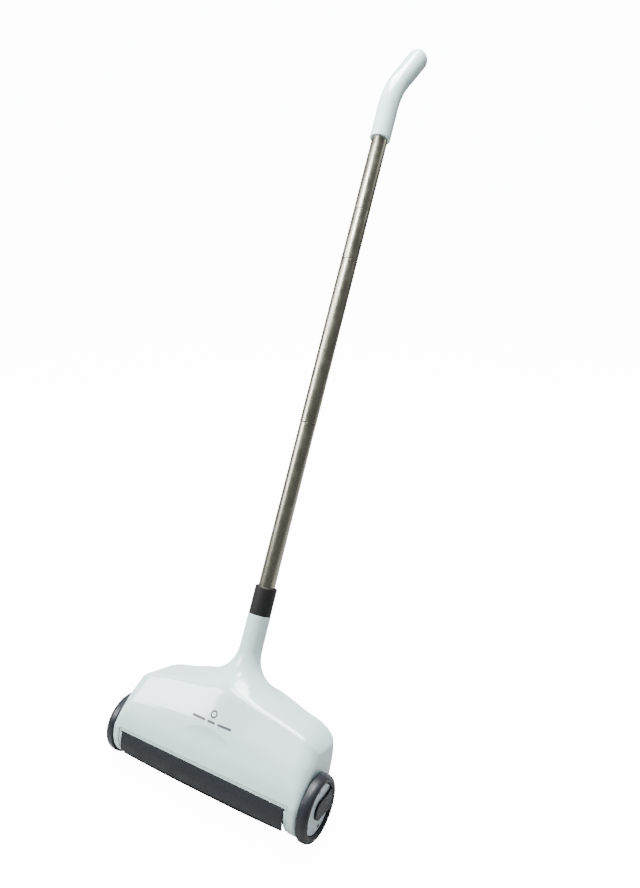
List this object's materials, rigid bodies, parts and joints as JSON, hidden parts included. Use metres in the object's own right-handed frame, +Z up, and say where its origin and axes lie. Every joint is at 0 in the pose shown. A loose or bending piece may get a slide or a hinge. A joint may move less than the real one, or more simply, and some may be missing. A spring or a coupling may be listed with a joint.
{
  "type": "carpet sweeper",
  "caption": "Push-along carpet sweeper: domed head with a brush roller geared to an end wheel, front dust door, dust bin, sectional pole and bent hand grip.",
  "frame": {"origin": "on the floor under the middle of the wheels' axle, with the pole leaning back 30 degrees", "axes": "+X along the head towards the wheel with the latch lever, +Y to the rear, +Z up"},
  "size_m": [0.331, 0.6842, 0.9871],
  "materials": {
    "gloss_white": "gloss white moulded plastic with a cool tint",
    "slate_plastic": "semi-gloss dark slate plastic",
    "tyre": "smooth dark slate soft plastic",
    "silver_inlay": "satin silver paint",
    "black_plastic": "matte near-black plastic",
    "bristle": "black nylon bristle",
    "lip_rubber": "matte black rubber",
    "bin_plastic": "light grey moulded plastic",
    "gear_plastic": "natural acetal",
    "tube_metal": "metallic champagne coating, fine flake",
    "plug_plastic": "dark grey plastic",
    "steel": "turned steel"
  },
  "bodies": {
    "head": {"main_housing": "gloss_white", "rear_cover": "gloss_white", "cover_screws": "steel", "bearing_left": "black_plastic", "bearing_right": "black_plastic", "planet_pins": "steel", "axle": "steel", "axle_clips": "steel", "brush_hood": "black_plastic", "dust_bin": "bin_plastic", "rear_lip": "lip_rubber", "neck_socket": "black_plastic", "collar": "black_plastic", "tube_lower": "tube_metal", "tube_middle": "tube_metal", "tube_short": "tube_metal", "tube_upper": "tube_metal", "joint_plug_low": "plug_plastic", "joint_plug_mid": "plug_plastic", "joint_plug_high": "plug_plastic", "handle_grip": "gloss_white"},
    "brush": {"brush_core": "black_plastic", "brush_drive_cap": "black_plastic", "brush_end_cap": "black_plastic", "bristles": "bristle", "sun_gear": "gear_plastic"},
    "wheel_left": {"wheel_hub_left": "slate_plastic", "tyre_left": "tyre", "inlay_left": "silver_inlay", "hub_cap_left": "slate_plastic", "ring_gear": "gear_plastic"},
    "wheel_right": {"wheel_hub_right": "slate_plastic", "tyre_right": "tyre", "inlay_right": "silver_inlay"},
    "latch": {"latch_lever": "slate_plastic"},
    "planet_a": {"planet_gear_a": "gear_plastic"},
    "planet_b": {"planet_gear_b": "gear_plastic"},
    "door": {"dust_door": "slate_plastic", "front_lip": "lip_rubber"}
  },
  "joints": [
    {"name": "brush_spin", "type": "hinge", "parent": "head", "child": "brush", "pos_m": [0, 0, 0.0425], "axis": [1, 0, 0], "continuous": true},
    {"name": "wheel_left_spin", "type": "hinge", "parent": "head", "child": "wheel_left", "pos_m": [0, 0, 0.0425], "axis": [1, 0, 0], "continuous": true},
    {"name": "planet_a_spin", "type": "hinge", "parent": "head", "child": "planet_a", "pos_m": [0, 0.01949, 0.03125], "axis": [1, 0, 0], "continuous": true},
    {"name": "planet_b_spin", "type": "hinge", "parent": "head", "child": "planet_b", "pos_m": [0, -0.01949, 0.05375], "axis": [1, 0, 0], "continuous": true},
    {"name": "wheel_right_spin", "type": "hinge", "parent": "head", "child": "wheel_right", "pos_m": [0, 0, 0.0425], "axis": [1, 0, 0], "continuous": true},
    {"name": "latch_turn", "type": "hinge", "parent": "wheel_right", "child": "latch", "pos_m": [0, 0, 0.0425], "axis": [1, 0, 0], "range_deg": [0, 75]},
    {"name": "door_swing", "type": "hinge", "parent": "head", "child": "door", "pos_m": [0, -0.03761, 0.06465], "axis": [-1, 0, 0], "range_deg": [0, 80]}
  ],
  "couplings": [
    {"joint": "wheel_left_spin", "follows": "brush_spin", "ratio": -0.33333},
    {"joint": "planet_a_spin", "follows": "brush_spin", "ratio": -1},
    {"joint": "planet_b_spin", "follows": "brush_spin", "ratio": -1}
  ]
}
